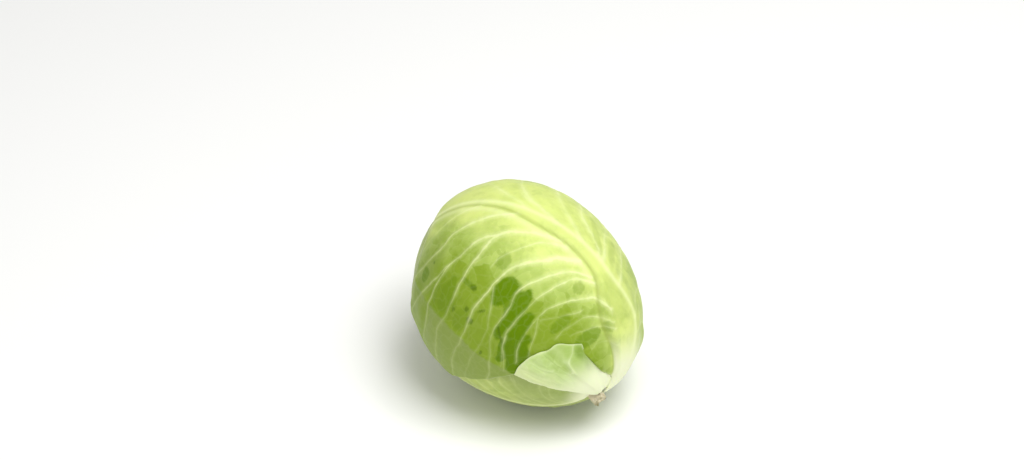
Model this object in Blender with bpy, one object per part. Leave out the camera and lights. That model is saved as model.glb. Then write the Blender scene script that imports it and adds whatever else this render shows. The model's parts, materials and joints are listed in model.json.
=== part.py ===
"""A head of white cabbage, lying on a small flat spot of its side.

Every leaf is a thin closed shell that wraps round the head. The leaves are nested like the real
ones: each grows from the stalk, a golden-angle turn from the one before it, and lies a little
deeper than it. Lengths are in millimetres until a mesh is made, which is in metres.

Frame: origin at the middle of the resting spot, +Z up. Inside the head, directions are given by
theta, the angle from the stalk's end towards the crown, and phi, the turn about the stalk.
"""
import math
from typing import NamedTuple

import bpy
import numpy as np

MM = 0.001

# How the head lies
CENTRE_HEIGHT = 79.6      # head centre above the surface that it rests on
STALK_DIP = 22.4          # degrees that the cut stalk points below level
STALK_HEADING = -52.4     # degrees, compass turn of the stalk about +Z from +X
HEAD_ROLL = 30.7          # degrees, turn of the head about its stalk

# Shape of the head: its mean radius at the stalk's end, lower shoulder, waist, upper shoulder and
# crown, and how far beyond that its side at phi = 0 swells at the two shoulders and the waist
PROFILE_AT = (0.0, 45.0, 90.0, 135.0, 180.0)
PROFILE = (98.0, 88.0, 82.5, 88.0, 94.5)
SWELL_AT = (45.0, 90.0, 135.0)
SWELL = (1.0, -4.5, -3.5)

# Stalk: a core that tapers into the head, its cut end just proud of the leaf bases
STALK_CUT_AT = 98.5      # from the head centre along the stalk
STALK_TOP_AT = 22.0
STALK_CUT_RADIUS = 12.5
STALK_TOP_RADIUS = 9.0
STALK_CUT_BEVEL = 1.2
STALK_SIDES = 28
STALK_CLEARANCE = 2.6     # between the stalk and the leaf bases

# Leaves
GOLDEN_ANGLE = 137.508    # degrees between one leaf and the next
FIRST_AZIMUTH = 41.0      # phi of the outermost whole leaf's rib
WRAPPER_DEPTHS = (0.0, 2.2, 4.4, 6.6, 8.8, 11.0)
WRAPPER_THICKNESS = 0.9
HEART_LEAVES = 12
HEART_FIRST_DEPTH = 14.6
HEART_PITCH = 4.3
HEART_THICKNESS = 1.9
HEART_TIP = 150.0
HEART_SPREAD = 88.0
FIRST_ENDS_AT = (147.0, 165.0)  # theta and phi that the outermost whole leaf's rib heads for
FIRST_SPREAD = (118.0, 150.0)
FIRST_TAPER = (0.75, 0.9)
PAST_CROWN = 158.0        # theta of the point, over the crown, that the other ribs head for
TORN_AZIMUTH = 104.0
TORN_TIP = 47.0
TORN_SPREAD = (27.0, 29.0)
TORN_TAPER = (0.85, 1.0)
TORN_TIP_ROUND = (11.0, 0.0)
TORN_PROUD = 3.0          # of the surface of the leaf under it
BUD_RADIUS = 11.0
BUD_HALF_LENGTH = 17.0
BUD_BELOW_STALK = 0.5     # gap between the stalk's top and the bud
BUD_SIDES = 16
BUD_RINGS = 9

# Tip, spread, rows, columns and whether it shows a rib, of each wrapper leaf from the outermost in
WRAPPER_SIZES = ((158.0, 150.0, 20, 14, True), (160.0, 118.0, 20, 12, True),
                 (155.0, 95.0, 17, 9, False), (155.0, 95.0, 17, 9, False),
                 (155.0, 92.0, 17, 9, False), (155.0, 92.0, 17, 9, False))

# A leaf's rows follow its lateral veins: each leaves the rib climbing, then levels off
ROW_CLIMB = 10.0                      # degrees that each row climbs
CLASPING_CLIMB = 2.0                  # more at the base of a leaf
CLIMB_FADE = 25.0                     # degrees up the rib over which that passes off
ROW_LEVEL_OFF = 26.0                  # degrees of turn about the stalk in which a row levels off
WHOLE_TAPER = (0.75, 0.45)            # width of a whole leaf at its base and tip, next to its widest
TIP_ROUND = (12.0, 12.0)              # degrees by which the corners of a leaf's tip fall back

# The lower margin of the outermost whole leaf, as turn from the rib and climb, in degrees: it clasps
# the stalk on the right and, on the left, leaves a lobe beside the stalk and sweeps up clear of it
FIRST_HEM = ((-118.0, 20.0), (-60.0, 2.0), (0.0, 0.0), (22.0, 4.0), (33.0, 18.0), (44.0, 25.0),
             (86.0, 39.0), (107.0, 54.0), (132.0, 71.0), (151.0, 77.0))
HEM_FADE = 1.6                        # power with which the hem's climb passes off towards the tip

RIB_HALF_WIDTH = (13.0, 3.0)          # at the leaf's base and tip
RIB_HEIGHT = 1.3
GRID_NEAR_RIB = 0.62                  # share of even spacing in the columns, closer at the rib


class Leaf(NamedTuple):
    """One leaf: where its rib runs, how deep it lies and how far it spreads."""

    name: str
    azimuth: float                    # degrees about the stalk, of the rib at its base
    depth: float
    thickness: float
    ends_at: tuple                    # theta and phi that the rib heads for, past the crown
    tip: float                        # degrees up the rib at which the leaf stops
    spread: tuple                     # widths right and left of the rib, in degrees about the stalk
    rows: int
    columns: int                      # on each side of the rib
    ribbed: bool = False
    hem: tuple = ()                   # its lower margin, where that isn't the plain clasping one
    taper: tuple = WHOLE_TAPER
    tip_round: tuple = TIP_ROUND      # right and left of the rib


def head_axes():
    """Return the head's x, y and stalk axes as the rows of a matrix, in world coordinates."""
    dip, heading, roll = (math.radians(a) for a in (STALK_DIP, STALK_HEADING, HEAD_ROLL))
    stalk = np.array([math.cos(dip) * math.cos(heading), math.cos(dip) * math.sin(heading),
                      -math.sin(dip)])
    level = np.cross((0.0, 0.0, 1.0), stalk)
    level /= np.linalg.norm(level)
    rise = np.cross(stalk, level)
    side = math.cos(roll) * level + math.sin(roll) * rise
    return np.array([side, np.cross(stalk, side), stalk])


AXES = head_axes()


def wave_weights(wave, orders, angles, sizes):
    """Return the weights with which waves of these orders add up to the sizes at the angles."""
    return np.linalg.solve(wave(np.outer(np.radians(angles), orders)), sizes)


PROFILE_WEIGHTS = wave_weights(np.cos, (0, 1, 2, 3, 4), PROFILE_AT, PROFILE)
SWELL_WEIGHTS = wave_weights(np.sin, (1, 2, 3), SWELL_AT, SWELL)


def head_radius(direction):
    """Return the radius of the head, before it is flattened, for unit vectors in head axes."""
    theta = np.arccos(np.clip(direction[..., 2], -1.0, 1.0))
    flat = np.maximum(np.hypot(direction[..., 0], direction[..., 1]), 1e-9)
    mean = sum(w * np.cos(n * theta) for n, w in enumerate(PROFILE_WEIGHTS))
    swell = sum(w * np.sin(n * theta) for n, w in enumerate(SWELL_WEIGHTS, start=1))
    return mean + swell * direction[..., 0] / flat


def on_head(direction, depth, proud=0.0):
    """Return world points at a depth under the head's surface, flattened where it rests."""
    world = direction @ AXES
    radius = head_radius(direction)
    resting = (radius - WRAPPER_DEPTHS[1]) * np.maximum(-world[..., 2], 1e-6)
    squash = np.minimum(1.0, CENTRE_HEIGHT / np.maximum(resting, 1e-6))
    radius = (radius - depth) * squash + proud
    return world * radius[..., None] + (0.0, 0.0, CENTRE_HEIGHT)


def smooth(t):
    """Return the smoothstep of t."""
    t = np.clip(t, 0.0, 1.0)
    return t * t * (3.0 - 2.0 * t)


def leaf_base_angle(depth):
    """Return the theta at which a leaf of this depth meets the stalk."""
    end = PROFILE[0] - depth
    along = (end - STALK_TOP_AT) / (STALK_CUT_AT - STALK_TOP_AT)
    radius = STALK_TOP_RADIUS + (STALK_CUT_RADIUS - STALK_TOP_RADIUS) * min(along, 1.0)
    return math.asin((radius + STALK_CLEARANCE) / end)


def leaf_to_direction(leaf, up, around):
    """Return unit vectors for places on a leaf, given up and around its rib in radians.

    The leaf is drawn between two poles, the stalk's end and the point that its rib heads for, and
    a Moebius map of the sphere bends that pair of poles onto the head.
    """
    far = np.tan(math.radians(leaf.ends_at[0]) / 2.0) * np.exp(1j * math.radians(leaf.ends_at[1]))
    place = np.tan(up / 2.0) * np.exp(1j * (around + math.radians(leaf.azimuth)))
    place = place / (1.0 + place / far)
    theta, phi = 2.0 * np.arctan(np.abs(place)), np.angle(place)
    return np.stack([np.sin(theta) * np.cos(phi), np.sin(theta) * np.sin(phi), np.cos(theta)], -1)


def leaf_grid(leaf):
    """Return the leaf's outer surface as world points, rows by columns from margin to margin."""
    base, tip = leaf_base_angle(leaf.depth), math.radians(leaf.tip)
    share = np.linspace(0.0, 1.0, leaf.rows)[:, None]
    across = np.linspace(-1.0, 1.0, 2 * leaf.columns + 1)[None, :]
    across = np.sign(across) * (GRID_NEAR_RIB * abs(across) + (1.0 - GRID_NEAR_RIB) * across ** 2)
    widest = leaf.taper[0] + (1.0 - leaf.taper[0]) * smooth(share / 0.3)
    widest = widest * (1.0 - (1.0 - leaf.taper[1]) * smooth((share - 0.5) / 0.5))
    spread, tip_round = (np.radians(np.where(across < 0.0, *pair)) for pair in (leaf.spread, leaf.tip_round))
    around = across * widest * spread
    start = base + share * (tip - base)
    if leaf.hem:
        hem = np.interp(np.degrees(around), *np.transpose(leaf.hem))
        up = start + np.radians(hem) * (1.0 - share) ** HEM_FADE
    else:
        climb = (math.radians(ROW_CLIMB) * smooth(share / 0.2) * (1.0 - share)
                 + math.radians(CLASPING_CLIMB) * np.exp(-(start - base) / math.radians(CLIMB_FADE)))
        up = start + climb * (1.0 - np.exp(-abs(around) / math.radians(ROW_LEVEL_OFF)))
    up = up - tip_round * share ** 4 * across ** 2
    direction = leaf_to_direction(leaf, up, around)
    proud = np.zeros(direction.shape[:2])
    if leaf.ribbed:
        off = abs(around) * np.sin(start) * head_radius(direction)
        wide = RIB_HALF_WIDTH[0] + (RIB_HALF_WIDTH[1] - RIB_HALF_WIDTH[0]) * share
        proud = RIB_HEIGHT * (1.0 - share) * np.exp(-(off / wide) ** 2)
    return on_head(direction, leaf.depth, proud)


def material(name, colour, roughness):
    """Return a Principled material of one colour."""
    made = bpy.data.materials.new(name)
    made.use_nodes = True
    shader = made.node_tree.nodes["Principled BSDF"]
    shader.inputs["Base Color"].default_value = (*colour, 1.0)
    shader.inputs["Roughness"].default_value = roughness
    shader.inputs["Metallic"].default_value = 0.0
    return made


def place_object(name, mesh, finish):
    """Link a mesh to the scene as a named, smooth-shaded object with one material."""
    mesh.materials.append(finish)
    made = bpy.data.objects.new(name, mesh)
    bpy.context.scene.collection.objects.link(made)
    mesh.shade_smooth()
    mesh.set_sharp_from_angle(angle=math.radians(40.0))
    return made


def make_shell(name, grid, thickness, finish):
    """Make a grid of world points into a leaf of even thickness, which grows inwards."""
    rows, columns = grid.shape[:2]
    corner = np.arange(rows * columns).reshape(rows, columns)
    faces = np.stack([corner[:-1, :-1], corner[:-1, 1:], corner[1:, 1:], corner[1:, :-1]], 2)
    mesh = bpy.data.meshes.new(name)
    mesh.from_pydata((grid.reshape(-1, 3) * MM).tolist(), [], faces.reshape(-1, 4)[:, ::-1].tolist())
    made = place_object(name, mesh, finish)
    wall = made.modifiers.new("thickness", "SOLIDIFY")
    wall.thickness = thickness * MM
    wall.offset = -1.0
    wall.use_rim = True
    return made


def turned(name, profile, sides, finish):
    """Spin (radius, along) points about the stalk's axis into a closed solid."""
    vertices, faces, rings = [], [], []
    for radius, along in profile:
        if radius == 0.0:
            rings.append([len(vertices)] * sides)
            vertices.append(AXES[2] * along + (0.0, 0.0, CENTRE_HEIGHT))
            continue
        rings.append(list(range(len(vertices), len(vertices) + sides)))
        for i in range(sides):
            turn = 2.0 * math.pi * i / sides
            across = AXES[0] * math.cos(turn) + AXES[1] * math.sin(turn)
            vertices.append(across * radius + AXES[2] * along + (0.0, 0.0, CENTRE_HEIGHT))
    for low, high in zip(rings, rings[1:]):
        for i in range(sides):
            j = (i + 1) % sides
            loop = list(dict.fromkeys((low[i], low[j], high[j], high[i])))
            faces.append(loop)
    mesh = bpy.data.meshes.new(name)
    mesh.from_pydata([tuple(v * MM) for v in vertices], [], faces)
    return place_object(name, mesh, finish)


def make_stalk(finish):
    """Make the core, with its cut end."""
    bevel = STALK_CUT_BEVEL
    profile = [(0.0, STALK_TOP_AT), (STALK_TOP_RADIUS, STALK_TOP_AT),
               (STALK_CUT_RADIUS, STALK_CUT_AT - bevel), (STALK_CUT_RADIUS - bevel, STALK_CUT_AT),
               (0.0, STALK_CUT_AT)]
    return turned("stalk", profile, STALK_SIDES, finish)


def make_bud(finish):
    """Make the tight bud that the core ends in."""
    low = STALK_TOP_AT - BUD_BELOW_STALK - 2.0 * BUD_HALF_LENGTH
    turns = np.linspace(0.0, math.pi, BUD_RINGS)
    profile = [(BUD_RADIUS * math.sin(a) if 0.0 < a < math.pi else 0.0,
                low + BUD_HALF_LENGTH * (1.0 - math.cos(a))) for a in turns]
    return turned("heart_bud", profile, BUD_SIDES, finish)


def make_torn_base(finish):
    """Make the base that is left of an outermost leaf, torn off low down."""
    patch = Leaf("torn_leaf_base", TORN_AZIMUTH, -TORN_PROUD, WRAPPER_THICKNESS, (180.0, 0.0),
                 TORN_TIP, TORN_SPREAD, 7, 5, taper=TORN_TAPER, tip_round=TORN_TIP_ROUND)
    return make_shell(patch.name, leaf_grid(patch), patch.thickness, finish)


def wrapper_leaves():
    """Return the whole leaves that show or lie just under the outside, outermost first."""
    leaves = []
    for turn, (tip, spread, rows, columns, ribbed) in enumerate(WRAPPER_SIZES):
        azimuth = FIRST_AZIMUTH + turn * GOLDEN_ANGLE
        leaves.append(Leaf(f"wrapper_leaf_{turn + 1}", azimuth, WRAPPER_DEPTHS[turn],
                           WRAPPER_THICKNESS, (PAST_CROWN, azimuth + 180.0), tip,
                           (spread, spread), rows, columns, ribbed))
    leaves[0] = leaves[0]._replace(ends_at=FIRST_ENDS_AT, spread=FIRST_SPREAD, taper=FIRST_TAPER,
                                   hem=FIRST_HEM)
    return leaves


def heart_leaves():
    """Return the leaves inside the head, each smaller than the one round it."""
    leaves = []
    for turn in range(HEART_LEAVES):
        depth = HEART_FIRST_DEPTH + turn * HEART_PITCH
        azimuth = FIRST_AZIMUTH + (len(WRAPPER_DEPTHS) + turn) * GOLDEN_ANGLE
        grain = max(6, 9 - turn // 3)
        leaves.append(Leaf(f"heart_leaf_{turn + 1}", azimuth, depth, HEART_THICKNESS,
                           (PAST_CROWN, azimuth + 180.0), HEART_TIP,
                           (HEART_SPREAD, HEART_SPREAD), grain + 3, grain // 2 + 2))
    return leaves


def main():
    """Build the head."""
    for old in list(bpy.data.objects):
        bpy.data.objects.remove(old, do_unlink=True)
    green = material("waxy green leaf", (0.36, 0.52, 0.12), 0.45)
    pale = material("pale leaf base", (0.66, 0.79, 0.38), 0.45)
    cream = material("cream heart leaf", (0.85, 0.83, 0.50), 0.5)
    pith = material("stalk pith", (0.76, 0.72, 0.46), 0.7)
    make_stalk(pith)
    make_bud(cream)
    make_torn_base(pale)
    for leaf in wrapper_leaves():
        make_shell(leaf.name, leaf_grid(leaf), leaf.thickness, green)
    for leaf in heart_leaves():
        make_shell(leaf.name, leaf_grid(leaf), leaf.thickness, cream)


main()
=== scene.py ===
"""A head of white cabbage: waxy wrapper leaves, a torn leaf base and a cut stalk, in soft light.

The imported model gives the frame. Each leaf that shows is modelled again here on the same surface as
its solid, with its rib, veins and puckers, and dressed in a leaf finish. Lengths are in millimetres
until a mesh is made, and angles are in degrees until a direction is worked out. A place on a leaf is
given by its turn about the stalk from the leaf's rib, to the left when seen from outside with the
stalk down, and by how far it is up the rib from the stalk's end. A direction in the head is given by
theta, the angle from the stalk's end towards the crown, and phi, the turn about the stalk.
"""
import json
import logging
import math
from dataclasses import dataclass, field
from enum import Enum

import bpy
import numpy as np
from mathutils import Matrix, Vector

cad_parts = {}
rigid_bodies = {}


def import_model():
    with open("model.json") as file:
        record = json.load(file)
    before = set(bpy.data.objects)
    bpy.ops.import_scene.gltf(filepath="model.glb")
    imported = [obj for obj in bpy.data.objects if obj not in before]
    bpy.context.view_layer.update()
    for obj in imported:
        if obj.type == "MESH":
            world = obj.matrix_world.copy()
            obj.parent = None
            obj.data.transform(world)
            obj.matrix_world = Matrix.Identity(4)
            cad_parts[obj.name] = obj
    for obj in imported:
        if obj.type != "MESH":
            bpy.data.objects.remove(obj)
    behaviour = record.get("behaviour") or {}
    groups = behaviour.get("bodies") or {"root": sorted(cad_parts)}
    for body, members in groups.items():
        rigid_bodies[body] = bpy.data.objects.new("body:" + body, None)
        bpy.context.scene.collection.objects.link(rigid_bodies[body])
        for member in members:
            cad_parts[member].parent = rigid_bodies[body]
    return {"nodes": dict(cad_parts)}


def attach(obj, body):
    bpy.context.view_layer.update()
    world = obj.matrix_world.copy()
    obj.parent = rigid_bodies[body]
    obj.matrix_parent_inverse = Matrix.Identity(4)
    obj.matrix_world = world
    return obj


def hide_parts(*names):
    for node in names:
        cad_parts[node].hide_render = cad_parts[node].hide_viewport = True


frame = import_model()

MM = 0.001
VEIN_LAYERS = 4           # groups of veins whose fields don't meet, each stored by itself
# crease carries painted shade, crest partly a painted highlight, edge a painted light rim; bloom and rubbed
# also carry painted shade in places.
FINISH_FIELDS = ("green", "bloom", "rubbed", "speck", "cream", "crest", "crease", "bank", "edge")
MULTIPLY = {"operation": "MULTIPLY"}
EASED = {"interpolation_type": "SMOOTHSTEP"}
COLOURS = {"data_type": "RGBA"}
MIXED_COLOUR = 2          # place of a Mix node's colour output
LOG = logging.getLogger("cabbage")


class Slot(Enum):
    """The material slots of the record."""

    GREEN_LEAF = "green_leaf"
    PALE_LEAF = "pale_leaf"
    STALK = "stalk"


def smooth(value: np.ndarray) -> np.ndarray:
    """Ease a share from 0 to 1.

    Args:
        value: shares, clipped to 0 and 1 first.

    Returns:
        The smoothstep of each share.
    """
    value = np.clip(value, 0.0, 1.0)
    return value * value * (3.0 - 2.0 * value)


def through(places: tuple, at: np.ndarray) -> np.ndarray:
    """Read a smooth curve through a few places. Past its ends it runs on level.

    Args:
        places: (x, y) pairs in order of x.
        at: values of x.

    Returns:
        The curve's y at each.
    """
    x, y = np.transpose(np.asarray(places, float))
    slope = np.gradient(y, x)
    low = np.clip(np.searchsorted(x, at, side="right") - 1, 0, len(x) - 2)
    gap = x[low + 1] - x[low]
    share = np.clip((at - x[low]) / gap, 0.0, 1.0)
    leave, reach = share * (1.0 - share) ** 2, share ** 2 * (1.0 - share)
    bulge = gap * (slope[low] * leave - slope[low + 1] * reach)
    return y[low] + (y[low + 1] - y[low]) * smooth(share) + bulge


def soft_noise(place: np.ndarray, grain: float, seed: int) -> np.ndarray:
    """Give smooth noise in space, the same on each run.

    Args:
        place: points, in millimetres.
        grain: size of a lump, in millimetres.
        seed: which noise.

    Returns:
        A value from about -1 to 1 for each point.
    """
    table = np.random.default_rng(seed).uniform(-1.0, 1.0, 4096)
    scaled = place / grain + 100.0
    cell = np.floor(scaled).astype(np.int64)
    part = scaled - cell
    part = part * part * part * (part * (part * 6.0 - 15.0) + 10.0)
    total = np.zeros(place.shape[:-1])
    for corner in range(8):
        step = np.array([corner & 1, corner >> 1 & 1, corner >> 2 & 1])
        at = cell + step
        key = (at[..., 0] * 73856093 ^ at[..., 1] * 19349663 ^ at[..., 2] * 83492791) % 4096
        weight = np.prod(np.where(step == 1, part, 1.0 - part), axis=-1)
        total += table[key] * weight
    return total


def waves_through(wave: np.ufunc, first: int, places: tuple, at: np.ndarray) -> np.ndarray:
    """Read the sum of a few waves that goes through a few places.

    Args:
        wave: np.sin or np.cos.
        first: the order of the slowest wave; there are as many waves as places.
        places: (angle in degrees, size) pairs.
        at: angles in radians.

    Returns:
        The sum of the waves at each.
    """
    angles, sizes = np.transpose(places)
    orders = first + np.arange(len(places))
    weights = np.linalg.solve(wave(np.outer(np.radians(angles), orders)), sizes)
    return sum(weight * wave(order * at) for weight, order in zip(weights, orders))


@dataclass(frozen=True)
class HeadForm:
    """The shape of the whole head and how it lies; every layer of leaves follows it.

    Its profile is (theta, mean radius) from the stalk's end to the crown, and its swell is (theta,
    how far beyond that its side at phi = 0 stands out). A lump is (theta, phi, how wide in degrees, how
    high in millimetres).
    """

    centre_height: float = 79.6
    stalk_dip: float = 22.4
    stalk_heading: float = -52.4
    roll: float = 30.7
    profile: tuple = ((0.0, 98.0), (45.0, 88.0), (90.0, 82.5), (135.0, 88.0), (180.0, 94.5))
    swell: tuple = ((45.0, 1.0), (90.0, -4.5), (135.0, -3.5))
    resting_depth: float = 2.2
    lumps: tuple = ((120.0, 168.0, 8.0, 1.4), (33.0, -17.0, 6.0, 1.8))

    def axes(self) -> np.ndarray:
        """Work out how the head lies.

        Returns:
            Its two cross axes and its stalk axis, as rows in world coordinates.
        """
        dip, heading, roll = (math.radians(a) for a in (self.stalk_dip, self.stalk_heading, self.roll))
        stalk = np.array([math.cos(dip) * math.cos(heading), math.cos(dip) * math.sin(heading),
                          -math.sin(dip)])
        level = np.cross((0.0, 0.0, 1.0), stalk)
        level /= np.linalg.norm(level)
        side = math.cos(roll) * level + math.sin(roll) * np.cross(stalk, level)
        return np.array([side, np.cross(stalk, side), stalk])

    def radius(self, direction: np.ndarray) -> np.ndarray:
        """Return the radius of the head before it is pressed flat.

        Args:
            direction: unit vectors in head axes.

        Returns:
            The radius along each, in millimetres.
        """
        theta = np.arccos(np.clip(direction[..., 2], -1.0, 1.0))
        flat = np.maximum(np.hypot(direction[..., 0], direction[..., 1]), 1e-9)
        mean = waves_through(np.cos, 0, self.profile, theta)
        swell = waves_through(np.sin, 1, self.swell, theta)
        radius = mean + swell * direction[..., 0] / flat
        for lump_theta, lump_phi, wide, high in self.lumps:
            middle = unit(math.radians(lump_theta), math.radians(lump_phi))
            away = np.degrees(np.arccos(np.clip(direction @ middle, -1.0, 1.0)))
            radius = radius + high * np.exp(-(away / wide) ** 2)
        return radius

    def place(self, direction: np.ndarray, depth: np.ndarray) -> np.ndarray:
        """Return world points under the head's surface, pressed flat where the head rests.

        Args:
            direction: unit vectors in head axes.
            depth: how far under the surface each point lies, in millimetres.

        Returns:
            The points, in millimetres.
        """
        world = direction @ self.axes()
        radius = self.radius(direction)
        down = np.maximum(-world[..., 2], 1e-6)
        resting = np.maximum((radius - self.resting_depth) * down, 1e-6)
        radius = (radius - depth) * np.minimum(1.0, self.centre_height / resting)
        points = world * radius[..., None] + (0.0, 0.0, self.centre_height)
        points[..., 2] = np.maximum(points[..., 2], 0.0)
        return points


def unit(theta: float, phi: float) -> np.ndarray:
    """Return the unit vector in head axes at theta and phi, both in radians."""
    return np.array([math.sin(theta) * math.cos(phi), math.sin(theta) * math.sin(phi), math.cos(theta)])


@dataclass(frozen=True)
class Rib:
    """The midrib of a leaf, by lines along it: places are (up, turn), sizes (up, millimetres)."""

    crest: tuple = ((8.0, 0.0), (160.0, 0.0))
    foot: tuple = ((8.0, 9.0), (60.0, 5.0), (160.0, 3.0))
    height: tuple = ((8.0, 1.8), (60.0, 1.2), (160.0, 0.2))
    right_flank: tuple = ((8.0, 11.0), (60.0, 8.0), (160.0, 4.0))
    left_flank: float = 5.0
    shown: float = 1.0


@dataclass(frozen=True)
class Vein:
    """One vein, through a few places (turn, up), thick where it starts and fine where it ends."""

    places: tuple
    half_width: tuple = (1.0, 0.5)
    strength: float = 1.0


@dataclass(frozen=True)
class Patch:
    """An oval on a leaf: its middle (turn, up), half its size both ways, and how strong it is."""

    middle: tuple
    size: tuple
    strength: float = 1.0
    slope: float = 0.0
    soft: float = 0.22

    def share(self, turn: np.ndarray, up: np.ndarray) -> np.ndarray:
        """Say how far inside the oval places are.

        Args:
            turn: turns from the leaf's rib.
            up: ways up it.

        Returns:
            1 in the middle of the oval, 0 on its outline and less outside.
        """
        across = (turn - self.middle[0]) / self.size[0]
        along = (up - self.middle[1] - self.slope * (turn - self.middle[0])) / self.size[1]
        return 1.0 - across ** 2 - along ** 2


@dataclass(frozen=True)
class Outline:
    """The outline of a leaf: margins are (up, turn), its hem and top (turn, climb above or below)."""

    base: float
    tip: float
    right: tuple
    left: tuple
    hem: tuple = ((-180.0, 0.0), (180.0, 0.0))
    top: tuple = ((-180.0, 0.0), (180.0, 0.0))
    row_climb: float = 0.0
    tip_round: float = 12.0
    ragged: float = 1.0


@dataclass(frozen=True)
class Complexion:
    """How a leaf is coloured: curves (turn, share) of its green, patches, and a fold (up, turn)."""

    left: tuple = ((0.0, 0.2), (30.0, 0.45), (90.0, 0.7))
    right: tuple = ((0.0, 0.2), (30.0, 0.45), (90.0, 0.7))
    nearer_below: float = 0.0
    bloom: float = 0.3
    # Past the fold the colour takes painted shade, laid on as extra bloom.
    fold: tuple = ()
    rubbed: tuple = ()
    specks: tuple = ()
    cream_to: tuple = (14.0, 34.0)
    cream_left: float = 0.0


@dataclass
class LeafPlan:
    """What sets one leaf apart: where it lies, how far it spreads and how finely it is modelled."""

    name: str
    azimuth: float
    depth: float
    ends_at: tuple
    outline: Outline
    veins: tuple
    forks: tuple = ()
    rib: Rib = field(default_factory=Rib)
    complexion: Complexion = field(default_factory=Complexion)
    swells: tuple = ()
    slot: Slot = Slot.GREEN_LEAF
    thickness: float = 0.9
    thin_edge: float = 0.45
    edge_tuck: float = 0.9
    rows: int = 120
    columns: int = 140
    seed: int = 1

    def vein_layers(self) -> tuple:
        """Return the veins in VEIN_LAYERS groups, in each of which they run well apart."""
        return self.veins[0::3], self.veins[1::3], self.veins[2::3], self.forks


def fanned_veins(starts: tuple, climbs: tuple, level_off: float, seed: int) -> tuple:
    """Lay out lateral veins that leave the rib climbing, level off and fork.

    Args:
        starts: ways up the rib at which they leave it.
        climbs: how far each climbs.
        level_off: turn in which a vein levels off.
        seed: which leaf's chances.

    Returns:
        The veins of both sides, and their forks.
    """
    chance = np.random.default_rng(seed)
    turns = (3.0, 12.0, 24.0, 38.0, 56.0, 78.0, 108.0)
    veins, forks = [], []
    for side in (1.0, -1.0):
        for start, climb in zip(starts, climbs):
            begin, rise = start + chance.uniform(-2.0, 2.0), climb * chance.uniform(0.9, 1.1)
            ups = [begin + rise * (1.0 - math.exp(-t / level_off)) + chance.uniform(-0.8, 0.8)
                   for t in turns]
            veins.append(Vein(tuple((side * t, u) for t, u in zip(turns, ups)), (0.9, 0.4), 0.4))
            part = chance.integers(2, 4)
            away = chance.choice((-1.0, 1.0)) * chance.uniform(4.0, 7.0)
            fork = [(side * t, u + away * smooth((k - part) / 2.5))
                    for k, (t, u) in enumerate(zip(turns, ups)) if k >= part]
            forks.append(Vein(tuple(fork), (0.7, 0.35), 0.35))
    return tuple(veins), tuple(forks)


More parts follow.
